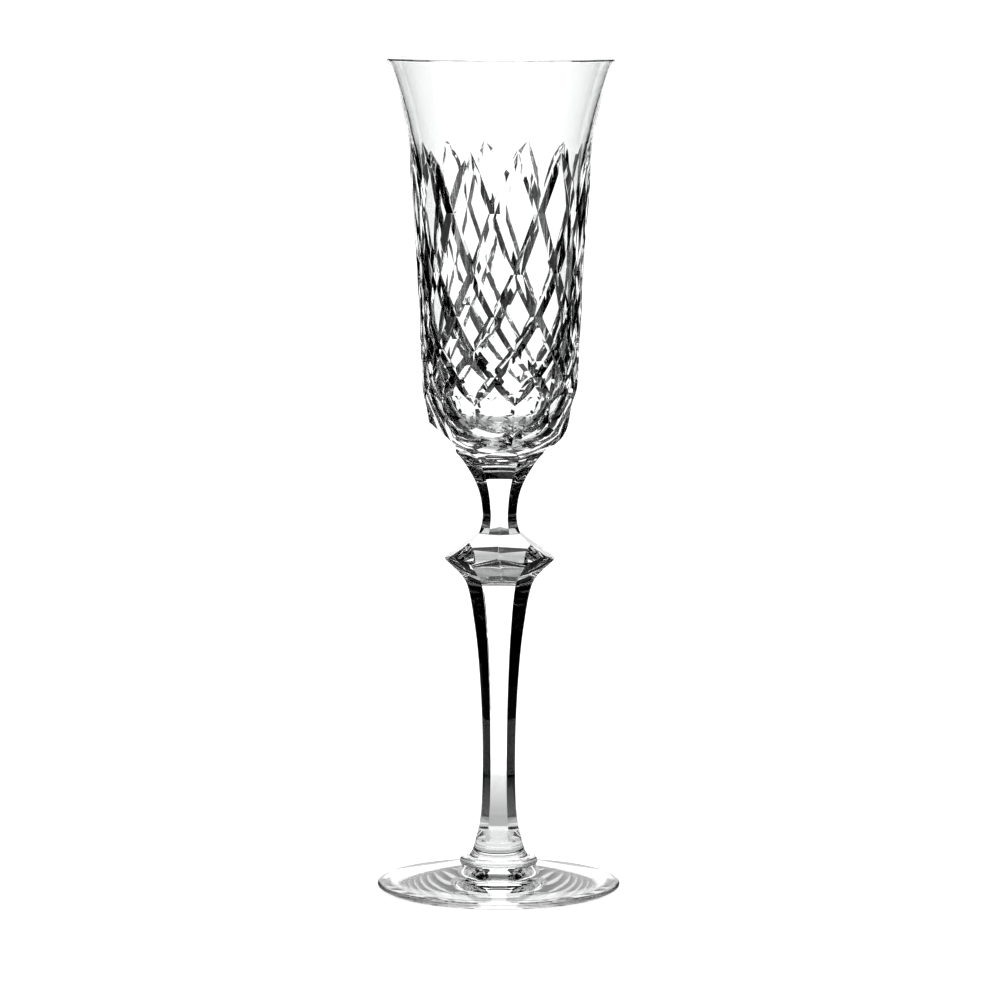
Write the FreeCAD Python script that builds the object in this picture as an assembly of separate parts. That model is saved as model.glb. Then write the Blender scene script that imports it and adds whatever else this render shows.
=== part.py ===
import FreeCAD, Part
import math
import os

# Cut-crystal champagne flute, in millimetres.  +Z is up along the glass's axis and the
# origin is the middle of the ring that the foot stands on.  -Y is the front: one facet
# of the neck, the knop and the stem faces it.  Outlines are points (radius, height).
V = FreeCAD.Vector

# ---- Driving dimensions -------------------------------------------------------------

HEIGHT = 241.4             # foot to lip
RIM_RADIUS = 33.0          # outside of the flared lip
RIM_WALL = 1.1             # thickness of the lip, which is rounded over
RIM_Z = HEIGHT - RIM_WALL / 2
FOOT_RADIUS = 35.3
STAND_RING = (31.4, 33.6)  # inner and outer radius of the flat ring the foot stands on
FOOT_HOLLOW = 2.6          # height of the hollow under the foot, at the axis

# Heights where one piece of glass is fused to the next.
BOWL_Z = 126.0             # bowl and neck
NECK_Z = 104.3             # neck and knop
KNOP_Z = 88.2              # knop and stem
STEM_Z = 17.5              # stem and foot button
BUTTON_Z = 7.4             # foot button and foot

# The bowl before it is cut: outside, rim to base, and inside, rim to rounded bottom.
BOWL_OUTSIDE = [
    (RIM_RADIUS, RIM_Z), (31.05, 236.2), (29.0, 229.3), (27.4, 222.4), (26.5, 217.4),
    (25.85, 207.0), (24.95, 195.0), (24.25, 184.5), (23.7, 174.0), (23.25, 164.0),
    (22.8, 155.0), (22.35, 146.4), (21.75, 141.2), (20.9, 137.2), (20.3, 134.6),
]
BOWL_INSIDE = [
    (RIM_RADIUS - RIM_WALL, RIM_Z), (29.9, 236.2), (27.75, 229.3), (25.9, 222.4),
    (24.5, 216.0), (22.9, 206.0), (21.8, 195.0), (20.9, 184.5), (20.2, 174.0),
    (19.5, 163.0), (18.6, 153.5), (17.2, 145.5), (14.6, 138.8), (10.2, 134.4),
    (5.0, 132.6), (0.0, 132.2),
]

# Two families of V grooves wind round the bowl in opposite directions.  They cross at
# these heights, half a step further round the bowl each time.  The first and the last
# height lie past the grooves' ends, and only guide them.
GROOVES = 12               # in each family
CROSSINGS_Z = [234.0, 215.7, 198.0, 180.7, 168.5, 158.7, 151.3, 143.2, 135.0]
GROOVE_TURN = 12.5         # angle of a crossing of the top row, from the front
GROOVE_ENDS_Z = (215.5, 143.0)  # top and bottom, where a groove has faded out
GROOVE_FADES = (7.0, 5.0)  # height over which a groove fades out, at its top and bottom
GROOVE_DEPTH = 1.15
GROOVE_ANGLE = 108.0       # between a groove's two sides
CUTTER_HEIGHT = 2.4        # of the triangle that is swept along a groove
CUTTER_STATIONS = 18

# Flat panels round the bowl's base, and six larger facets below them that make the
# shoulder, as (half-width, height).  Every second edge between panels meets an edge
# between shoulder facets.
PANELS = 12
PANEL_TURN = -2.5          # angle of a panel's middle, from the front
PANEL_SIDE = [
    (22.4, 146.0), (21.4, 143.4), (20.7, 140.5), (20.15, 137.1), (19.5, 134.8), (18.6, 133.1),
    (17.2, 131.4), (15.6, 130.0),
]
PANEL_FOOT = (15.6, BOWL_Z - 1)  # straight down, clear of the shoulder's facets
SHOULDER_FACETS = 6
SHOULDER_TURN = -17.5      # angle of a shoulder facet's middle, from the front
SHOULDER = [(24.0, 139.9), (12.2, 128.3), (12.2, BOWL_Z - 1)]

# Hexagonal parts, as (corner radius, height).  Corners point left and right.
HEX = 6
NECK_CORNERS = [
    (20.5, 131.0), (14.6, 128.7), (12.0, 126.8), (9.25, 123.1), (7.85, 120.8),
    (6.75, 118.5), (5.6, 115.0), (5.05, 111.5), (4.92, 109.3), (5.3, 106.4), (5.9, NECK_Z),
]
KNOP_CORNERS = [
    (19.6, 100.2), (17.2, 97.8), (15.0, 95.7), (13.0, 93.9), (11.3, 92.2),
    (9.95, 90.3), (9.1, KNOP_Z),
]
KNOP_TOP_ARC = [(5.9, NECK_Z), (9.95, 100.9), (16.1, 97.0)]  # half-width, height
KNOP_TIP_RADIUS = 15.75    # the six tips are worn round to this
STEM_CORNERS = [
    (9.1, KNOP_Z), (8.2, 84.2), (7.35, 78.7), (6.7, 74.0), (6.2, 69.4), (5.75, 64.0),
    (5.2, 55.5), (4.85, 46.5), (4.73, 36.4), (4.9, 27.0), (5.3, 21.4), (5.85, STEM_Z),
]

# The foot button is round, and the stem's facets run out in its top.
BUTTON_OUTSIDE = [(5.95, STEM_Z), (6.5, 15.0), (7.15, 12.6), (7.85, 10.7), (9.2, 9.4)]
BUTTON_BEAD = [(9.2, 9.4), (11.3, 8.35), (11.2, BUTTON_Z)]
BUTTON_CORNERS = [(5.85, STEM_Z), (6.7, 15.6), (8.0, 13.9), (10.6, 12.6)]

# The foot is a shallow cone, hollowed underneath so that it stands on a ring.
FOOT_SLOPE = [(11.2, BUTTON_Z), (22.5, 4.7), (34.6, 2.15)]
FOOT_LIP = [(34.6, 2.15), (FOOT_RADIUS, 1.35), (34.5, 0.6)]

BAR_LENGTH = 90.0          # of the bars whose sides are the facets
REACH = 40.0               # further out than anything in the glass


# ---- Outlines and solids ------------------------------------------------------------

def at(point):
    radius, height = point
    return V(radius, 0, height)


def line(start, end):
    return Part.LineSegment(at(start), at(end)).toShape()


def arc(points):
    return Part.Arc(*[at(p) for p in points]).toShape()


def spline_curve(points):
    curve = Part.BSplineCurve()
    curve.interpolate([at(p) for p in points])
    return curve


def spline(points):
    return spline_curve(points).toShape()


def turned(edges):
    """The solid of revolution of a closed outline."""
    face = Part.Face(Part.Wire(edges))
    return face.revolve(V(0, 0, 0), V(0, 0, 1), 360)


def across_flats(corners):
    """Half-widths across a hexagon's flats, from its corner radii."""
    return [(radius * math.cos(math.pi / HEX), z) for radius, z in corners]


def bar(side, top, bottom):
    """A bar along Y.  side is one side of its outline, from its top to its bottom point."""
    other = [edge.mirror(V(0, 0, 0), V(1, 0, 0)) for edge in side]
    caps = [line((-radius, z), (radius, z)) for radius, z in (top, bottom)]
    outline = Part.Wire(Part.__sortEdges__(side + other + caps))
    return Part.Face(outline).extrude(V(0, BAR_LENGTH, 0)).translated(V(0, -BAR_LENGTH / 2, 0))


def faceted(side, top, bottom, facets, turn):
    """The part inside every bar of a ring of them.  One facet's middle is at turn from the front."""
    blank = bar(side, top, bottom)
    bars = []
    for index in range(facets // 2):
        turned_bar = blank.copy()
        turned_bar.rotate(V(0, 0, 0), V(0, 0, 1), turn + index * 360 / facets - 90)
        bars.append(turned_bar)
    solid = bars[0]
    for other in bars[1:]:
        solid = solid.common(other)
    return solid


def between(solid, bottom, top):
    """What lies between two heights."""
    slab = Part.makeCylinder(REACH, top - bottom, V(0, 0, bottom))
    return solid.common(slab)


# ---- Bowl ---------------------------------------------------------------------------

OUTSIDE_CURVE = spline_curve(BOWL_OUTSIDE)
HALF_STEP = 180 / GROOVES
WINDING_CURVE = spline_curve([(HALF_STEP * row, z) for row, z in enumerate(CROSSINGS_Z, -1)])


def found(curve, height):
    """The parameter of a falling curve where it passes a height."""
    low, high = curve.FirstParameter, curve.LastParameter
    for _ in range(40):
        middle = (low + high) / 2
        if curve.value(middle).z > height:
            low = middle
        else:
            high = middle
    return low


def groove_point(height, hand):
    """A point of a groove's path on the uncut bowl, and the outward normal there."""
    parameter = found(OUTSIDE_CURVE, height)
    slope = OUTSIDE_CURVE.tangent(parameter)[0]
    winding = WINDING_CURVE.value(found(WINDING_CURVE, height)).x
    spin = FreeCAD.Rotation(V(0, 0, 1), GROOVE_TURN + hand * winding - 90)
    point = spin.multVec(OUTSIDE_CURVE.value(parameter))
    normal = spin.multVec(V(-slope.z, 0, slope.x))
    return point, normal


def groove_depth(height):
    """Depth of a groove's bottom below the uncut bowl, which fades out at its ends."""
    top, bottom = GROOVE_ENDS_Z
    share = min((top - height) / GROOVE_FADES[0], (height - bottom) / GROOVE_FADES[1], 1)
    return GROOVE_DEPTH * math.sin(share * math.pi / 2)


def cutter_section(height, hand):
    """The V of the cutter across a groove, as a closed triangle with its tip in the glass."""
    point, normal = groove_point(height, hand)
    ahead = groove_point(height - 0.1, hand)[0] - groove_point(height + 0.1, hand)[0]
    across = normal.cross(ahead).normalize()
    half_width = CUTTER_HEIGHT * math.tan(math.radians(GROOVE_ANGLE / 2))
    tip = point - normal * groove_depth(height)
    base = tip + normal * CUTTER_HEIGHT
    corners = [tip, base + across * half_width, base - across * half_width]
    return Part.makePolygon(corners + [tip])


def groove_cutters(hand):
    """One family's cutters, all alike, spaced evenly round the bowl."""
    top, bottom = GROOVE_ENDS_Z
    last = CUTTER_STATIONS - 1
    heights = [top + (bottom - top) * index / last for index in range(CUTTER_STATIONS)]
    first = Part.makeLoft([cutter_section(z, hand) for z in heights], True, False)
    cutters = []
    for index in range(GROOVES):
        cutter = first.copy()
        cutter.rotate(V(0, 0, 0), V(0, 0, 1), index * 360 / GROOVES)
        cutters.append(cutter)
    return Part.makeCompound(cutters)


def lip(side):
    """Half of the rounding over the lip, from its top to the outside (1) or inside (-1)."""
    radius = RIM_WALL / 2
    middle = RIM_RADIUS - radius
    slant = radius * math.sqrt(0.5)
    return arc([
        (middle, HEIGHT), (middle + side * slant, RIM_Z + slant), (middle + side * radius, RIM_Z),
    ])


def bowl_blank():
    """The bowl's outside, solid and not yet cut, down to the joint with the neck."""
    base = BOWL_OUTSIDE[-1]
    shoulder = (base[0] - (base[1] - BOWL_Z), BOWL_Z)
    crown = (RIM_RADIUS - RIM_WALL / 2, HEIGHT)
    return turned([
        line((0, HEIGHT), crown), lip(1), spline(BOWL_OUTSIDE), line(base, shoulder),
        line(shoulder, (0, BOWL_Z)), line((0, BOWL_Z), (0, HEIGHT)),
    ])


def bowl_hollow():
    crown = (RIM_RADIUS - RIM_WALL / 2, HEIGHT)
    return turned([
        line((0, HEIGHT), crown), lip(-1), spline(BOWL_INSIDE),
        line(BOWL_INSIDE[-1], (0, HEIGHT)),
    ])


def panel_facets():
    """Everything inside the flat panels round the bowl's base."""
    top, ledge = (REACH, HEIGHT), (REACH, PANEL_SIDE[0][1])
    side = [
        line(top, ledge), line(ledge, PANEL_SIDE[0]), spline(PANEL_SIDE),
        line(PANEL_SIDE[-1], PANEL_FOOT),
    ]
    return faceted(side, top, PANEL_FOOT, PANELS, PANEL_TURN)


def shoulder_facets():
    """Everything inside the shoulder's large facets."""
    start, middle, end = SHOULDER
    top, ledge = (REACH, HEIGHT), (REACH, start[1])
    side = [line(top, ledge), line(ledge, start), line(start, middle), line(middle, end)]
    return faceted(side, top, end, SHOULDER_FACETS, SHOULDER_TURN)


def neck_facets():
    """Everything inside the neck's facets, which run out in the bowl's shoulder."""
    points = across_flats(NECK_CORNERS)
    top = (REACH, HEIGHT)
    ledge = (REACH, points[0][1])
    side = [line(top, ledge), line(ledge, points[0]), spline(points)]
    return faceted(side, top, points[-1], HEX, 0)


def make_bowl():
    bowl = bowl_blank()
    for hand in (1, -1):
        bowl = bowl.cut(groove_cutters(hand))
    for facets in (panel_facets(), shoulder_facets(), neck_facets()):
        bowl = bowl.common(facets)
    return bowl.cut(bowl_hollow())


# ---- Neck, knop and stem ------------------------------------------------------------

def make_neck():
    return between(neck_facets(), NECK_Z, BOWL_Z)


def make_knop():
    """Six facets below and, half a step round, six above.  They meet in a zigzag ridge."""
    points = across_flats(KNOP_CORNERS)
    top = (points[0][0], NECK_Z)
    below = faceted([line(top, points[0]), spline(points)], top, points[-1], HEX, 0)
    skirt, bottom = (REACH, KNOP_TOP_ARC[-1][1]), (REACH, KNOP_Z)
    side = [arc(KNOP_TOP_ARC), line(KNOP_TOP_ARC[-1], skirt), line(skirt, bottom)]
    above = faceted(side, KNOP_TOP_ARC[0], bottom, HEX, 180 / HEX)
    worn = Part.makeCylinder(KNOP_TIP_RADIUS, NECK_Z - KNOP_Z, V(0, 0, KNOP_Z))
    return below.common(above).common(worn)


def make_stem():
    points = across_flats(STEM_CORNERS)
    return faceted([spline(points)], points[0], points[-1], HEX, 0)


# ---- Foot ---------------------------------------------------------------------------

def make_foot_button():
    """A round flare that ends in a bead.  The stem's facets run out in its top."""
    flare = turned([
        line((0, STEM_Z), BUTTON_OUTSIDE[0]), spline(BUTTON_OUTSIDE), arc(BUTTON_BEAD),
        line(BUTTON_BEAD[-1], (0, BUTTON_Z)), line((0, BUTTON_Z), (0, STEM_Z)),
    ])
    points = across_flats(BUTTON_CORNERS)
    skirt, bottom = (REACH, points[-1][1]), (REACH, BUTTON_Z)
    side = [spline(points), line(points[-1], skirt), line(skirt, bottom)]
    return flare.common(faceted(side, points[0], bottom, HEX, 0))


def make_foot():
    inner, outer = STAND_RING
    dome_radius = (inner ** 2 + FOOT_HOLLOW ** 2) / (2 * FOOT_HOLLOW)
    dome_middle = FOOT_HOLLOW - dome_radius
    mid_hollow = (inner / 2, dome_middle + math.sqrt(dome_radius ** 2 - (inner / 2) ** 2))
    return turned([
        line((0, BUTTON_Z), FOOT_SLOPE[0]), arc(FOOT_SLOPE), arc(FOOT_LIP),
        line(FOOT_LIP[-1], (outer, 0)), line((outer, 0), (inner, 0)),
        arc([(inner, 0), mid_hollow, (0, FOOT_HOLLOW)]), line((0, FOOT_HOLLOW), (0, BUTTON_Z)),
    ])


# ---- Files --------------------------------------------------------------------------

NODES = {
    "bowl": make_bowl,
    "neck": make_neck,
    "knop": make_knop,
    "stem": make_stem,
    "foot_button": make_foot_button,
    "foot": make_foot,
}

os.makedirs("parts", exist_ok=True)
for name, make in NODES.items():
    piece = make()
    solid = piece.Solids[0]
    box = solid.optimalBoundingBox(False)
    print(
        f"{name}: {len(piece.Solids)} solid, valid {solid.isValid()}, {solid.Volume / 1000:.2f} cm3, "
        f"{len(solid.Faces)} faces, radius {box.XMax:.2f}, height {box.ZMin:.2f} to {box.ZMax:.2f}"
    )
    solid.exportStep(f"parts/{name}.step")
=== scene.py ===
import math

import bmesh
import bpy
import numpy as np
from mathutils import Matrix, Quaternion, Vector


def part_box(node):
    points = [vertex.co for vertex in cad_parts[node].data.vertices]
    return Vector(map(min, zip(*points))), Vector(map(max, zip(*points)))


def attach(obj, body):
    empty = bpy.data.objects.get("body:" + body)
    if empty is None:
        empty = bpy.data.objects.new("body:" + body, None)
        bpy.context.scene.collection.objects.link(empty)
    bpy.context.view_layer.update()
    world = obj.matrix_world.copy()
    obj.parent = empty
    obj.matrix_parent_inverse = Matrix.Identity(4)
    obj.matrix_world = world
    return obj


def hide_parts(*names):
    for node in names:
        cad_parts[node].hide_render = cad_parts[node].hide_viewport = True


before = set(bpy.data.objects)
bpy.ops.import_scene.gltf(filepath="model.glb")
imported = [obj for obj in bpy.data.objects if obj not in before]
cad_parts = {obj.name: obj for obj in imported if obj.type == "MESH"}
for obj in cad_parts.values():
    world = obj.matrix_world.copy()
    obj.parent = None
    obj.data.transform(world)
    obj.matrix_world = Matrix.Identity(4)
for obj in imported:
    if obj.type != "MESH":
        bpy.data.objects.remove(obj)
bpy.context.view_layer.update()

# Cut-crystal champagne flute.  Outlines and cuts are in millimetres, as (radius, height)
# above the foot, and meshes are made in metres.  Angles are in degrees from the front
# (-Y), growing towards +X.

MM = 0.001


def node_z(name, end):
    """The lowest (0) or highest (1) height of a CAD node, in millimetres."""
    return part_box(name)[end].z / MM


HEIGHT = node_z("bowl", 1)
BOWL_Z = node_z("bowl", 0)
NECK_Z = node_z("neck", 0)
KNOP_Z = node_z("knop", 0)
STEM_Z = node_z("stem", 0)
BUTTON_Z = node_z("foot_button", 0)
FOOT_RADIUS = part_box("foot")[1].x / MM
RIM_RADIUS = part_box("bowl")[1].x / MM
RIM_WALL = 1.1
RIM_Z = HEIGHT - RIM_WALL / 2

# ---- Sizes of the bowl --------------------------------------------------------------

BOWL_OUTSIDE = [
    (RIM_RADIUS, RIM_Z), (31.05, 236.2), (29.0, 229.3), (27.4, 222.4), (26.5, 217.4),
    (25.85, 207.0), (24.95, 195.0), (24.25, 184.5), (23.7, 174.0), (23.25, 164.0),
    (22.8, 155.0), (22.35, 146.4), (21.75, 141.2), (20.9, 137.2), (20.3, 134.6),
]
BOWL_INSIDE = [
    (RIM_RADIUS - RIM_WALL, RIM_Z), (29.9, 236.2), (27.75, 229.3), (25.9, 222.4),
    (24.5, 216.0), (22.9, 206.0), (21.8, 195.0), (20.9, 184.5), (20.2, 174.0),
    (19.5, 163.0), (18.6, 153.5), (17.2, 145.5), (14.6, 138.8), (10.2, 134.4),
    (5.0, 132.6), (0.0, 132.2),
]
GROOVES = 12                        # in each of two families, which wind opposite ways
CROSSINGS_Z = [234.0, 215.7, 198.0, 180.7, 168.5, 158.7, 151.3, 143.2, 135.0]
GROOVE_TURN = 12.5
GROOVE_ENDS_Z = (215.5, 143.0)      # top and bottom
GROOVE_FADES = (7.0, 5.0)           # height over which a groove fades out at each end
GROOVE_DEPTH = 1.15
GROOVE_ANGLE = 108.0
PANELS = 12                         # flat cuts round the bowl's base
PANEL_TURN = -2.5
PANEL_SIDE = [
    (22.4, 146.0), (21.4, 143.4), (20.7, 140.5), (20.15, 137.1), (19.5, 134.8), (18.6, 133.1),
    (17.2, 131.4), (15.6, 130.0),
]
PANEL_FOOT = (15.6, BOWL_Z - 1)
SHOULDER_FACETS = 6
SHOULDER_TURN = -17.5
SHOULDER = [(24.0, 139.9), (12.2, 128.3), (12.2, BOWL_Z - 1)]

# ---- Sizes of the neck, knop, stem and foot -----------------------------------------

HEX = 6
NECK_CORNERS = [
    (20.5, 131.0), (14.6, 128.7), (12.0, 126.8), (9.25, 123.1), (7.85, 120.8),
    (6.75, 118.5), (5.6, 115.0), (5.05, 111.5), (4.92, 109.3), (5.3, 106.4), (5.9, NECK_Z),
]
KNOP_CORNERS = [
    (19.6, 100.2), (17.2, 97.8), (15.0, 95.7), (13.0, 93.9), (11.3, 92.2),
    (9.95, 90.3), (9.1, KNOP_Z),
]
KNOP_TOP_ARC = [(5.9, NECK_Z), (9.95, 100.9), (16.1, 97.0)]
KNOP_TIP_RADIUS = 15.75
STEM_CORNERS = [
    (9.1, KNOP_Z), (8.2, 84.2), (7.35, 78.7), (6.7, 74.0), (6.2, 69.4), (5.75, 64.0),
    (5.2, 55.5), (4.85, 46.5), (4.73, 36.4), (4.9, 27.0), (5.3, 21.4), (5.85, STEM_Z),
]
BUTTON_OUTSIDE = [(5.95, STEM_Z), (6.5, 15.0), (7.15, 12.6), (7.85, 10.7), (9.2, 9.4)]
BUTTON_BEAD = [(9.2, 9.4), (11.3, 8.35), (11.2, BUTTON_Z)]
BUTTON_CORNERS = [(5.85, STEM_Z), (6.7, 15.6), (8.0, 13.9), (10.6, 12.6)]
FOOT_SLOPE = [(11.2, BUTTON_Z), (22.5, 4.7), (34.6, 2.15)]
FOOT_LIP = [(34.6, 2.15), (FOOT_RADIUS, 1.35), (34.5, 0.6)]
STAND_RING = (31.4, 33.6)
FOOT_HOLLOW = 2.6

REACH = 40.0             # past everything, for the outline of a cutter
CORNER_ROUND = 0.12      # radius that polishing leaves on a facet's edge
WELD = 0.003             # points nearer than this are one


# ---- Curves -------------------------------------------------------------------------

def spline(points, count):
    """Points along a smooth curve through the given points, evenly spaced by chord."""
    knots = np.array(points, float)
    chords = np.linalg.norm(np.diff(knots, axis=0), axis=1)
    at = np.concatenate([[0], np.cumsum(chords)])
    n = len(at)
    system, right = np.eye(n), np.zeros((n, 2))
    for i in range(1, n - 1):
        before, after = chords[i - 1], chords[i]
        system[i, i - 1:i + 2] = before, 2 * (before + after), after
        slopes = (knots[i + 1] - knots[i]) / after - (knots[i] - knots[i - 1]) / before
        right[i] = 6 * slopes
    for row, near, far in ((0, 1, 2), (n - 1, n - 2, n - 3)):
        gap = abs(at[near] - at[row]) / abs(at[far] - at[near])
        system[row, [row, near, far]] = 1, -1 - gap, gap
    bends = np.linalg.solve(system, right)
    places = np.linspace(0, at[-1], count)
    span = np.clip(np.searchsorted(at, places) - 1, 0, n - 2)
    width = chords[span][:, None]
    ahead, behind = (at[span + 1] - places)[:, None], (places - at[span])[:, None]
    return (
        bends[span] * ahead ** 3 / (6 * width) + bends[span + 1] * behind ** 3 / (6 * width)
        + (knots[span] / width - bends[span] * width / 6) * ahead
        + (knots[span + 1] / width - bends[span + 1] * width / 6) * behind
    )


def arc(points, count):
    """Points along the circle's arc through three points."""
    a, b, c = (np.array(p, float) for p in points)
    system = np.array([b - a, c - b]) * 2
    centre = np.linalg.solve(system, [b @ b - a @ a, c @ c - b @ b])
    radius = np.linalg.norm(a - centre)
    angles = [math.atan2(*(p - centre)[::-1]) for p in (a, b, c)]
    angles = np.unwrap(angles)
    turns = np.linspace(angles[0], angles[2], count)
    return centre + radius * np.stack([np.cos(turns), np.sin(turns)], axis=1)


def joined(*runs):
    """One outline from runs that each start where the last one ends."""
    parts = [np.array(runs[0], float)]
    for run in runs[1:]:
        run = np.array(run, float)
        same = np.allclose(run[0], parts[-1][-1], atol=1e-6)
        parts.append(run[1:] if same else run)
    return np.concatenate(parts)


def across_flats(corners):
    return [(radius * math.cos(math.pi / HEX), z) for radius, z in corners]


# ---- Meshes -------------------------------------------------------------------------

def round_ring(radius, height, angles):
    return np.stack([radius * np.sin(angles), -radius * np.cos(angles),
                     np.full(len(angles), height)], axis=1)


def facet_ring(apothem, height, facets, turn, corner, flat_steps=6, corner_steps=8):
    """A regular polygon with rounded corners.  One side's middle is at turn."""
    half = math.pi / facets
    flat = (apothem - corner) * math.tan(half)
    heart = (apothem - corner) / math.cos(half)
    points = []
    for index in range(facets):
        facing = math.radians(turn) + index * 2 * half
        for step in range(flat_steps):
            along = flat * (2 * step / flat_steps - 1)
            points.append((math.sin(facing) * apothem + math.cos(facing) * along,
                           -math.cos(facing) * apothem + math.sin(facing) * along))
        for step in range(corner_steps):
            turned = facing + 2 * half * step / corner_steps
            x = math.sin(facing + half) * heart + math.sin(turned) * corner
            y = -math.cos(facing + half) * heart - math.cos(turned) * corner
            points.append((x, y))
    ring = np.array(points)
    return np.column_stack([ring, np.full(len(ring), height)])


def added(name, data):
    """A new object in the scene.  Data of None makes an empty."""
    made = bpy.data.objects.new(name, data)
    bpy.context.scene.collection.objects.link(made)
    return made


def mesh_object(name, vertices, faces):
    """A new mesh from vertices in millimetres."""
    mesh = bpy.data.meshes.new(name)
    mesh.from_pydata((np.asarray(vertices) * MM).tolist(), [], faces)
    return added(name, mesh)


def stacked(rings):
    """Vertices and quads between rings with equal counts."""
    count = len(rings[0])
    faces = []
    for row in range(len(rings) - 1):
        above, below = row * count, (row + 1) * count
        for column in range(count):
            after = (column + 1) % count
            faces.append((above + column, below + column, below + after, above + after))
    return np.concatenate(rings), faces


def barrel(name, rings):
    """A closed solid from rings, top to bottom."""
    vertices, faces = stacked(rings)
    count = len(rings[0])
    top = tuple(range(count))
    bottom = tuple(range(len(vertices) - 1, len(vertices) - 1 - count, -1))
    return mesh_object(name, vertices, faces + [top, bottom])


def faceted_solid(name, outline, facets, turn, corner, **detail):
    rings = [facet_ring(radius, z, facets, turn, corner, **detail) for radius, z in outline]
    return barrel(name, rings)


def lathe(name, outline, steps):
    angles = np.linspace(0, 2 * math.pi, steps, endpoint=False)
    return barrel(name, [round_ring(radius, z, angles) for radius, z in outline])


def keep_inside(body, cutter):
    """Cuts a solid back to what lies inside another one, which is used up."""
    change = body.modifiers.new("facets", "BOOLEAN")
    change.operation = "INTERSECT"
    change.solver = "EXACT"
    change.object = cutter
    apply_modifiers(body)
    bpy.data.objects.remove(cutter)
    welded = bmesh.new()
    welded.from_mesh(body.data)
    bmesh.ops.remove_doubles(welded, verts=welded.verts, dist=WELD * MM)
    bmesh.ops.dissolve_degenerate(welded, edges=welded.edges, dist=WELD * MM)
    welded.to_mesh(body.data)
    welded.free()


def apply_modifiers(body):
    graph = bpy.context.evaluated_depsgraph_get()
    finished = bpy.data.meshes.new_from_object(body.evaluated_get(graph))
    old = body.data
    body.modifiers.clear()
    body.data = finished
    bpy.data.meshes.remove(old)
    finished.name = body.name


def shade(body, sharp_angle=10):
    """Smooth shading with crisp facet edges."""
    body.data.shade_smooth()
    body.data.set_sharp_from_angle(angle=math.radians(sharp_angle))
    weigh = body.modifiers.new("facet_normals", "WEIGHTED_NORMAL")
    weigh.keep_sharp = True
    apply_modifiers(body)


# ---- Bowl's mesh --------------------------------------------------------------------

LATTICE = 20             # mesh steps from one groove to the next of its family
LEAST_DEPTH = 0.3        # a groove that fades out keeps this depth's width in the mesh
SETTLING_ROUNDS = 6      # a groove's width depends on its height, and the height on the width
HALF_STEP = 180 / GROOVES
OUTSIDE = spline(BOWL_OUTSIDE, 3000)
WINDING = spline([(HALF_STEP * row, z) for row, z in enumerate(CROSSINGS_Z, -1)], 3000)
GROOVE_SPREAD = math.tan(math.radians(GROOVE_ANGLE / 2))


def outside_radius(z):
    return np.interp(z, OUTSIDE[::-1, 1], OUTSIDE[::-1, 0])


def groove_depth(z):
    """Depth of a groove below the uncut bowl, which fades out at its ends."""
    top, bottom = GROOVE_ENDS_Z
    share = np.minimum((top - z) / GROOVE_FADES[0], (z - bottom) / GROOVE_FADES[1])
    return GROOVE_DEPTH * np.sin(np.clip(share, -1, 1) * math.pi / 2)


def groove_scale(z):
    """Millimetres square to a groove for each degree round the bowl, at a height."""
    step = 0.2
    above = np.interp(z + step, WINDING[::-1, 1], WINDING[::-1, 0])
    below = np.interp(z - step, WINDING[::-1, 1], WINDING[::-1, 0])
    degree = math.radians(1) * outside_radius(z)
    slant = np.arctan(degree * (below - above) / (2 * step))
    return degree * np.cos(slant)


def station_angle(step, z):
    """Angle of a mesh step from its groove's middle.  Two steps each side lie in the groove."""
    edge = np.maximum(groove_depth(z), LEAST_DEPTH) * GROOVE_SPREAD / groove_scale(z)
    size = np.abs(step)
    within = edge * size / 2
    beyond = edge + (HALF_STEP - edge) * (size - 2) / (LATTICE / 2 - 2)
    return np.sign(step) * np.where(size <= 2, within, beyond)


def from_middle(place):
    """Steps from the middle of the nearest groove."""
    return (place + LATTICE / 2) % LATTICE - LATTICE / 2


def lattice_points():
    """Points of the grooved zone, by row and column.  Mesh lines run along both families of grooves."""
    rows = LATTICE * (len(CROSSINGS_Z) - 1)
    falling = np.arange(LATTICE * GROOVES)[None, :] + 0 * np.arange(rows + 1)[:, None]
    rising = falling - np.arange(-LATTICE, rows + 1 - LATTICE)[:, None]
    groove_a, groove_b = np.round(falling / LATTICE), np.round(rising / LATTICE)
    step_a, step_b = falling - groove_a * LATTICE, rising - groove_b * LATTICE
    wound = HALF_STEP * (falling - rising) / LATTICE
    for _ in range(SETTLING_ROUNDS):
        z = np.interp(wound, WINDING[:, 0], WINDING[:, 1])
        off_a, off_b = station_angle(step_a, z), station_angle(step_b, z)
        wound = (groove_a - groove_b) * HALF_STEP + (off_a - off_b) / 2
    turn = np.radians(GROOVE_TURN + (groove_a + groove_b) * HALF_STEP + (off_a + off_b) / 2)
    uncut = outside_radius(z)
    radius = uncut
    for off in (off_a, off_b):
        side = np.abs(off) * groove_scale(z) / GROOVE_SPREAD
        radius = np.minimum(radius, uncut - groove_depth(z) + side)
    return np.stack([radius * np.sin(turn), -radius * np.cos(turn), z], axis=2)


def lattice_faces(rows, around):
    """Triangles of the grooved zone.  Each square is split along the crease that may cross it."""
    faces = []
    for row in range(rows):
        for column in range(around):
            after = (column + 1) % around
            left, right = row * around + column, row * around + after
            bottom, top = (row + 1) * around + after, (row - 1) * around + column
            if row == 0:
                faces.append((left, bottom, right))
            elif row == rows - 1:
                faces.append((left, right, top))
            elif from_middle(column + 0.5) * from_middle(column - row + 0.5) > 0:
                faces += [(left, bottom, right), (left, right, top)]
            else:
                faces += [(left, bottom, top), (bottom, right, top)]
    return faces


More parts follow.
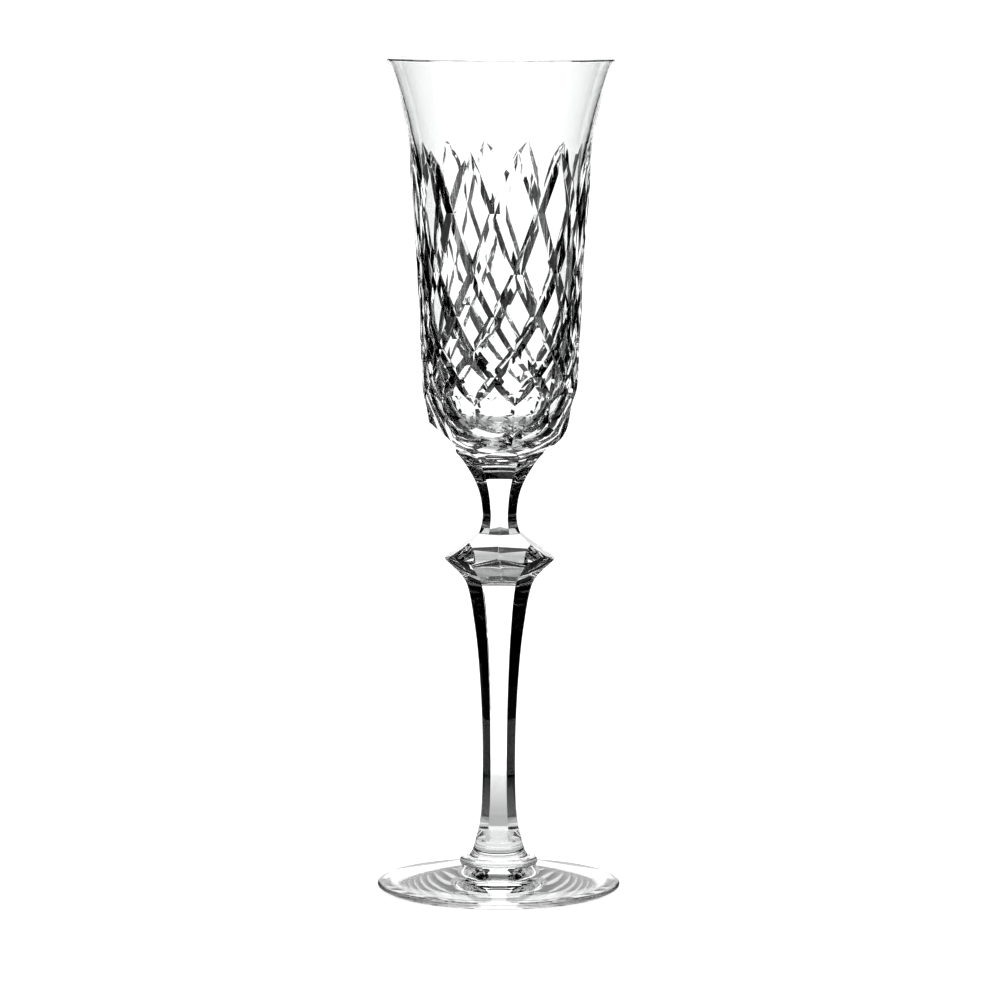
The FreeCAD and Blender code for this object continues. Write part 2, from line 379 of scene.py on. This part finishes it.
def lip(side, count=11):
    """Half of the rounding over the lip, from its top to the outside (1) or inside (-1)."""
    turns = np.linspace(0, math.pi / 2, count)
    radius = RIM_WALL / 2
    return np.stack([RIM_RADIUS - radius + side * radius * np.sin(turns),
                     RIM_Z + radius * np.cos(turns)], axis=1)


def bowl_body():
    """The grooved bowl before its base is faceted, hollow, from the lip down to the neck."""
    points = lattice_points()
    rows, around = points.shape[:2]
    angles = np.arctan2(points[0, :, 0], -points[0, :, 1])
    flare = [p for p in spline(BOWL_OUTSIDE, 60) if p[1] > CROSSINGS_Z[0] + 1]
    above = [round_ring(radius, z, angles) for radius, z in joined(lip(1), flare)]
    below = [points[-1] * (1, 1, 0) + (0, 0, z) for z in (PANEL_SIDE[-1][1], BOWL_Z)]
    inside = joined(lip(-1)[1:], spline(BOWL_INSIDE, 90)[:-1])[::-1]
    hollow = [round_ring(radius, z, angles) for radius, z in inside]
    first, last = len(above) * around, (len(above) + rows) * around
    _, faces = stacked(above + [points[0]])
    faces += [tuple(first + corner for corner in face) for face in lattice_faces(rows, around)]
    _, lower = stacked([points[-1]] + below)
    faces += [tuple(last - around + corner for corner in face) for face in lower]
    base = last + len(below) * around
    faces.append(tuple(range(base - 1, base - 1 - around, -1)))
    _, inner = stacked(hollow + [above[0]])
    bottom = base + len(hollow) * around
    for face in inner:
        faces.append(tuple(base + corner if base + corner < bottom else base + corner - bottom
                           for corner in face))
    faces += [(bottom, base + column, base + (column + 1) % around) for column in range(around)]
    heart = [[(0, 0, BOWL_INSIDE[-1][1])]]
    everything = above + list(points) + below + hollow + heart
    return mesh_object("bowl_crystal", np.concatenate(everything), faces)


def panel_facets():
    """Everything inside the flat panels round the bowl's base."""
    side = spline(PANEL_SIDE, 40)
    outline = joined([(REACH, HEIGHT + 1), (REACH, side[0][1])], side, [PANEL_FOOT])
    return faceted_solid("panel_facets", outline, PANELS, PANEL_TURN, CORNER_ROUND, flat_steps=2)


def shoulder_facets():
    """Everything inside the six large facets of the shoulder."""
    outline = joined([(REACH, HEIGHT + 1), (REACH, SHOULDER[0][1])], SHOULDER)
    return faceted_solid("shoulder_facets", outline, SHOULDER_FACETS, SHOULDER_TURN, CORNER_ROUND,
                         flat_steps=2)


def neck_outline():
    return spline(across_flats(NECK_CORNERS), 90)


def neck_facets():
    flare = neck_outline()
    outline = joined([(REACH, HEIGHT + 1), (REACH, flare[0][1])], flare)
    return faceted_solid("neck_facets", outline, HEX, 0, CORNER_ROUND)


def make_bowl():
    bowl = bowl_body()
    keep_inside(bowl, panel_facets())
    keep_inside(bowl, shoulder_facets())
    keep_inside(bowl, neck_facets())
    return bowl


# ---- Neck, knop, stem and foot ------------------------------------------------------

END_GAP = 0.05           # least height between an outline's end and its next point
DOME_MIDDLE = 0.6        # radius of the small flat that closes the hollow under the foot


def part_of(outline, low, high):
    """The stretch of an outline between two heights, with its ends cut exactly there."""
    run = np.array(outline)[::-1]
    inner = run[(run[:, 1] > low + END_GAP) & (run[:, 1] < high - END_GAP)]
    ends = [(np.interp(z, run[:, 1], run[:, 0]), z) for z in (low, high)]
    return np.array([ends[0], *inner, ends[1]])[::-1]


def make_neck():
    outline = part_of(spline(across_flats(NECK_CORNERS), 160), NECK_Z, BOWL_Z)
    return faceted_solid("neck_crystal", outline, HEX, 0, CORNER_ROUND)


def make_knop():
    """Six facets below and, half a step round, six above.  They meet in a zigzag ridge."""
    under = spline(across_flats(KNOP_CORNERS), 50)
    knop = faceted_solid("knop_crystal", joined([(under[0][0], NECK_Z)], under), HEX, 0, CORNER_ROUND)
    end = KNOP_TOP_ARC[-1]
    start = (KNOP_TOP_ARC[0][0], NECK_Z + 1)
    outline = joined([start], arc(KNOP_TOP_ARC, 20), [(REACH, end[1]), (REACH, KNOP_Z - 1)])
    keep_inside(knop, faceted_solid("knop_top", outline, HEX, 180 / HEX, CORNER_ROUND))
    worn = [(KNOP_TIP_RADIUS, NECK_Z + 1), (KNOP_TIP_RADIUS, KNOP_Z - 1)]
    keep_inside(knop, lathe("knop_worn", worn, 240))
    return knop


def make_stem():
    outline = spline(across_flats(STEM_CORNERS), 120)
    return faceted_solid("stem_crystal", outline, HEX, 0, CORNER_ROUND)


def make_foot_button():
    flare = joined(spline(BUTTON_OUTSIDE, 30), arc(BUTTON_BEAD, 30))
    button = lathe("foot_button_crystal", flare, 144)
    facets = spline(across_flats(BUTTON_CORNERS), 24)
    outline = joined([facets[0] + (0, 1)], facets, [(REACH, facets[-1][1]), (REACH, BUTTON_Z - 1)])
    keep_inside(button, faceted_solid("button_facets", outline, HEX, 0, CORNER_ROUND))
    return button


def make_foot():
    inner, outer = STAND_RING
    dome_radius = (inner ** 2 + FOOT_HOLLOW ** 2) / (2 * FOOT_HOLLOW)
    reaches = np.linspace(inner, DOME_MIDDLE, 40)
    dome = [(r, FOOT_HOLLOW - dome_radius + math.sqrt(dome_radius ** 2 - r ** 2)) for r in reaches]
    outline = joined(arc(FOOT_SLOPE, 40), arc(FOOT_LIP, 28), [(outer, 0)], dome)
    return lathe("foot_crystal", outline, 180)


# ---- Crystal ------------------------------------------------------------------------

def node(tree, kind, **settings):
    """A new shader node.  A setting is one of its properties or the value of an input."""
    made = tree.nodes.new(kind)
    for name, value in settings.items():
        if hasattr(made, name):
            setattr(made, name, value)
        else:
            made.inputs[name.replace("_", " ")].default_value = value
    return made


CRYSTAL_IOR = 1.545
CRYSTAL_TINT = (0.985, 0.992, 0.99, 1)
RIPPLE_SCALE, RIPPLE_HEIGHT = 60.0, 0.00002
HAZE_SCALE, HAZE_ROUGHNESS = 2400.0, 0.035
JOINT_REACH = 0.002      # a face within this height of a fused joint lies on it
LEVEL = 0.99             # a face whose normal is this upright is level


def crystal(name):
    """Polished lead crystal: a faint ripple left by the maker, and a finer polishing haze."""
    material = bpy.data.materials.new(name)
    material.use_nodes = True
    tree = material.node_tree
    shader = tree.nodes["Principled BSDF"]
    shader.inputs["Base Color"].default_value = CRYSTAL_TINT
    shader.inputs["IOR"].default_value = CRYSTAL_IOR
    shader.inputs["Transmission Weight"].default_value = 1
    place = node(tree, "ShaderNodeTexCoord")
    waves = node(tree, "ShaderNodeTexNoise", Scale=RIPPLE_SCALE, Detail=2.0, Roughness=0.4)
    haze = node(tree, "ShaderNodeTexNoise", Scale=HAZE_SCALE, Detail=3.0, Roughness=0.6)
    for noise in (waves, haze):
        tree.links.new(place.outputs["Object"], noise.inputs["Vector"])
    rough = node(tree, "ShaderNodeMapRange", From_Min=0.35, From_Max=0.8,
                 To_Min=0.0, To_Max=HAZE_ROUGHNESS)
    tree.links.new(haze.outputs["Fac"], rough.inputs["Value"])
    tree.links.new(rough.outputs["Result"], shader.inputs["Roughness"])
    bump = node(tree, "ShaderNodeBump", Strength=1.0, Distance=RIPPLE_HEIGHT)
    tree.links.new(waves.outputs["Fac"], bump.inputs["Height"])
    tree.links.new(bump.outputs["Normal"], shader.inputs["Normal"])
    return material


def fused_joint():
    """Nothing shows where one piece of crystal is fused to the next."""
    material = bpy.data.materials.new("fused_joint")
    material.use_nodes = True
    material.node_tree.nodes["Principled BSDF"].inputs["Alpha"].default_value = 0
    return material


def mark_joints(piece, heights):
    """Gives the level faces at the fused joints the second material."""
    for polygon in piece.data.polygons:
        height = piece.data.vertices[polygon.vertices[0]].co.z / MM
        level = abs(polygon.normal.z) > LEVEL
        at_joint = any(abs(height - joint) < JOINT_REACH for joint in heights)
        polygon.material_index = int(level and at_joint)


PIECES = {
    "bowl": (make_bowl, (BOWL_Z,)),
    "neck": (make_neck, (NECK_Z, BOWL_Z)),
    "knop": (make_knop, (KNOP_Z, NECK_Z)),
    "stem": (make_stem, (STEM_Z, KNOP_Z)),
    "foot_button": (make_foot_button, (BUTTON_Z, STEM_Z)),
    "foot": (make_foot, (BUTTON_Z,)),
}


def make_glass():
    joint = fused_joint()
    for name, (make, joint_heights) in PIECES.items():
        piece = make()
        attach(piece, "root")
        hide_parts(name)
        shade(piece)
        piece.data.materials.clear()
        piece.data.materials.append(crystal(f"{name}_crystal"))
        piece.data.materials.append(joint)
        mark_joints(piece, joint_heights)


# ---- Camera and studio --------------------------------------------------------------
# Cards are placed in millimetres: x to the right and y away from the camera, from the
# middle of the glass.  A glow is a share of white.

LENS = 181.5
CAMERA_TURN, CAMERA_ROLL = 1.5, 0.17
CAMERA_DISTANCE, CAMERA_HEIGHT = 1450.15, 280.3
AIM = (0.085, 0, 113.8)

WORLD = 1.4
FLOOR_SHADE, FLOOR_GLOW = 0.3, 0.85
FLOOR_REACH, FLOOR_Z = 6000, -0.1
TABLE_Z = -0.05

FLAG_X = 117                                  # black flags at both sides of the glass
FLAG_FRONT, FLAG_BACK, FLAG_TOP = -30, 195, 700
LOW_FLAG_FRONT, LOW_FLAG_BACK, LOW_FLAG_TOP = -120, 360, 105
ROOM, CEILING_Z = 1600, 1500                  # walls and ceiling beyond the flags
SIDE_BACK, CEILING_BACK = -500, 300
BACK_Y, BACK_DARK_Z = 1500, 1000
FRONT_LIGHTS = ((-1, "left", 0.08, 200), (1, "right", 0.15, 400))     # side, glow and top

# The cards on the table are painted shade: the table darkened round the glass by the flags, as the
# crystal sees it.
FOOT_EDGE = 36                                # cards on the table, round and under the foot
SIDE_SHADE_MIDDLE, SIDE_SHADE_BACK = 45, 230
SIDE_SHADE_FRONT_GLOW, SIDE_SHADE_BACK_GLOWS = 0.4, (0.16, 0.03)
TABLE_FRONT, GAP = -150, 6
GAP_GLOW, UNDER_GLOW = 0.8, 0.9
STRIP_FADE, STRIP_BACK, STRIP_GLOWS = 90, 200, (0.55, 1.0)


def make_camera():
    camera = added("camera", bpy.data.cameras.new("camera"))
    bpy.context.scene.camera = camera
    camera.data.lens = LENS
    turn = math.radians(CAMERA_TURN)
    camera.location = Vector((CAMERA_DISTANCE * math.sin(turn), -CAMERA_DISTANCE * math.cos(turn),
                              CAMERA_HEIGHT)) * MM
    towards = Vector(AIM) * MM - camera.location
    roll = Quaternion((0, 0, 1), math.radians(CAMERA_ROLL))
    camera.rotation_euler = (towards.to_track_quat("-Z", "Y") @ roll).to_euler()
    return camera


def make_turntable(camera):
    """Turns with the camera about the upright axis, and carries the cards."""
    turntable = added("turntable", None)
    turntable.rotation_euler.z = math.radians(CAMERA_TURN)
    facing = turntable.constraints.new("LOCKED_TRACK")
    facing.target = camera
    facing.track_axis = "TRACK_NEGATIVE_Y"
    facing.lock_axis = "LOCK_Z"
    return turntable


def make_world():
    world = bpy.data.worlds.new("white_studio")
    bpy.context.scene.world = world
    world.use_nodes = True
    background = world.node_tree.nodes["Background"]
    background.inputs["Color"].default_value = (1, 1, 1, 1)
    background.inputs["Strength"].default_value = WORLD


def matt(name, shade, shine):
    """A surface of a grey shade that also glows white."""
    material = bpy.data.materials.new(name)
    material.use_nodes = True
    shader = material.node_tree.nodes["Principled BSDF"]
    shader.inputs["Base Color"].default_value = (shade, shade, shade, 1)
    shader.inputs["Roughness"].default_value = 0.8
    shader.inputs["Specular IOR Level"].default_value = 0.0
    shader.inputs["Emission Color"].default_value = (1, 1, 1, 1)
    shader.inputs["Emission Strength"].default_value = shine
    return material


def fading(name, axis, start, end, glows):
    """A glow that changes along x, away from the middle, or along y, away from the camera.  Here it
    paints shade on the table that fades across it.
    """
    material = matt(name, 0, glows[0])
    tree = material.node_tree
    place = node(tree, "ShaderNodeTexCoord")
    parts = node(tree, "ShaderNodeSeparateXYZ")
    tree.links.new(place.outputs["Object"], parts.inputs["Vector"])
    size = node(tree, "ShaderNodeMath", operation="ABSOLUTE")
    tree.links.new(parts.outputs[axis], size.inputs[0])
    fade = node(tree, "ShaderNodeMapRange", From_Min=start * MM, From_Max=end * MM,
                To_Min=glows[0], To_Max=glows[1])
    tree.links.new(size.outputs["Value"], fade.inputs["Value"])
    tree.links.new(fade.outputs["Result"], tree.nodes["Principled BSDF"].inputs["Emission Strength"])
    return material


def stage_card(name, corners, material):
    made = mesh_object(name, corners, [(0, 1, 2, 3)])
    made.data.materials.append(material)
    return made


def studio_card(name, corners, material):
    """A card on the turntable, which only the crystal sees."""
    made = stage_card(name, corners, material)
    made.parent = bpy.data.objects["turntable"]
    made.visible_camera = False
    made.visible_diffuse = False
    made.visible_shadow = False


def wall(name, start, end, low, top, material):
    (x0, y0), (x1, y1) = start, end
    studio_card(name, [(x0, y0, low), (x1, y1, low), (x1, y1, top), (x0, y0, top)], material)


def sheet(name, x_range, y_range, z, material):
    (x0, x1), (y0, y1) = x_range, y_range
    studio_card(name, [(x0, y0, z), (x1, y0, z), (x1, y1, z), (x0, y1, z)], material)


def make_floor():
    reach, z = FLOOR_REACH, FLOOR_Z
    corners = [(-reach, -reach, z), (reach, -reach, z), (reach, reach, z), (-reach, reach, z)]
    stage_card("floor", corners, matt("pale_floor", FLOOR_SHADE, FLOOR_GLOW))


def make_flag(side, name, black):
    edge = side * FLAG_X
    wall(f"flag_{name}_low", (edge, LOW_FLAG_BACK), (edge, LOW_FLAG_FRONT), TABLE_Z, LOW_FLAG_TOP, black)
    wall(f"flag_{name}_high", (edge, FLAG_BACK), (edge, FLAG_FRONT), LOW_FLAG_TOP, FLAG_TOP, black)


def make_front_light(side, name, glow, top, black):
    """A dim wall beside and behind the camera, black above."""
    far = side * ROOM
    front = matt(f"front_{name}", 0, glow)
    runs = {"side": ((far, SIDE_BACK), (far, -ROOM)), "ahead": ((far, -ROOM), (0, -ROOM))}
    for run, (start, end) in runs.items():
        wall(f"front_{name}_{run}", start, end, TABLE_Z, top, front)
        wall(f"front_{name}_{run}_high", start, end, top, CEILING_Z, black)


# Painted shade of the flags on the table beside the foot, seen only in the crystal: a dim sheet beside
# it, one behind that darkens towards the flag, and a black sheet in front of the glass.
def make_side_shade(side, name, black):
    across = (side * FOOT_EDGE, side * FLAG_X)
    back = fading(f"side_shade_{name}_back", "X", FOOT_EDGE, FLAG_X, SIDE_SHADE_BACK_GLOWS)
    front = matt(f"side_shade_{name}_front", 0, SIDE_SHADE_FRONT_GLOW)
    sheet(f"side_shade_{name}_back", across, (SIDE_SHADE_MIDDLE, SIDE_SHADE_BACK), TABLE_Z, back)
    sheet(f"side_shade_{name}_front", across, (FLAG_FRONT, SIDE_SHADE_MIDDLE), TABLE_Z, front)
    near = (side * GAP, side * FLAG_X)
    sheet(f"front_shade_{name}", near, (TABLE_FRONT, -FOOT_EDGE), TABLE_Z, black)


# Painted shade on the table round the foot, seen only in the crystal: dimmer than the floor under the
# foot and in a narrow gap in front of it, and a painted shadow of the flags behind it, lighter away from
# the camera.
def make_shade_round_foot():
    across = (-FOOT_EDGE, FOOT_EDGE)
    sheet("shade_under_foot", across, across, TABLE_Z, matt("shade_under_foot", 0, UNDER_GLOW))
    sheet("table_gap", (-GAP, GAP), (TABLE_FRONT, -FOOT_EDGE), TABLE_Z, matt("table_gap", 0, GAP_GLOW))
    strip = fading("shadow_behind_foot", "Y", STRIP_FADE, STRIP_BACK, STRIP_GLOWS)
    sheet("shadow_behind_foot", across, (FOOT_EDGE, STRIP_BACK), TABLE_Z, strip)


def make_studio():
    make_world()
    make_floor()
    black = matt("black_card", 0, 0)
    for side, name, glow, top in FRONT_LIGHTS:
        make_flag(side, name, black)
        make_front_light(side, name, glow, top, black)
        make_side_shade(side, name, black)
    make_shade_round_foot()
    sheet("ceiling", (-ROOM, ROOM), (-ROOM, CEILING_BACK), CEILING_Z, black)
    wall("backdrop_high", (-ROOM, BACK_Y), (ROOM, BACK_Y), BACK_DARK_Z, CEILING_Z, black)


def set_picture():
    """A plain, contrasty picture, with enough bounces for a hollow, faceted glass."""
    scene = bpy.context.scene
    scene.view_settings.view_transform = "Standard"
    scene.view_settings.gamma = 0.8
    scene.cycles.use_denoising = True
    scene.cycles.max_bounces = 40
    scene.cycles.transmission_bounces = 40
    scene.cycles.glossy_bounces = 24
    scene.cycles.transparent_max_bounces = 48


make_glass()
make_turntable(make_camera())
make_studio()
set_picture()
bpy.context.view_layer.update()
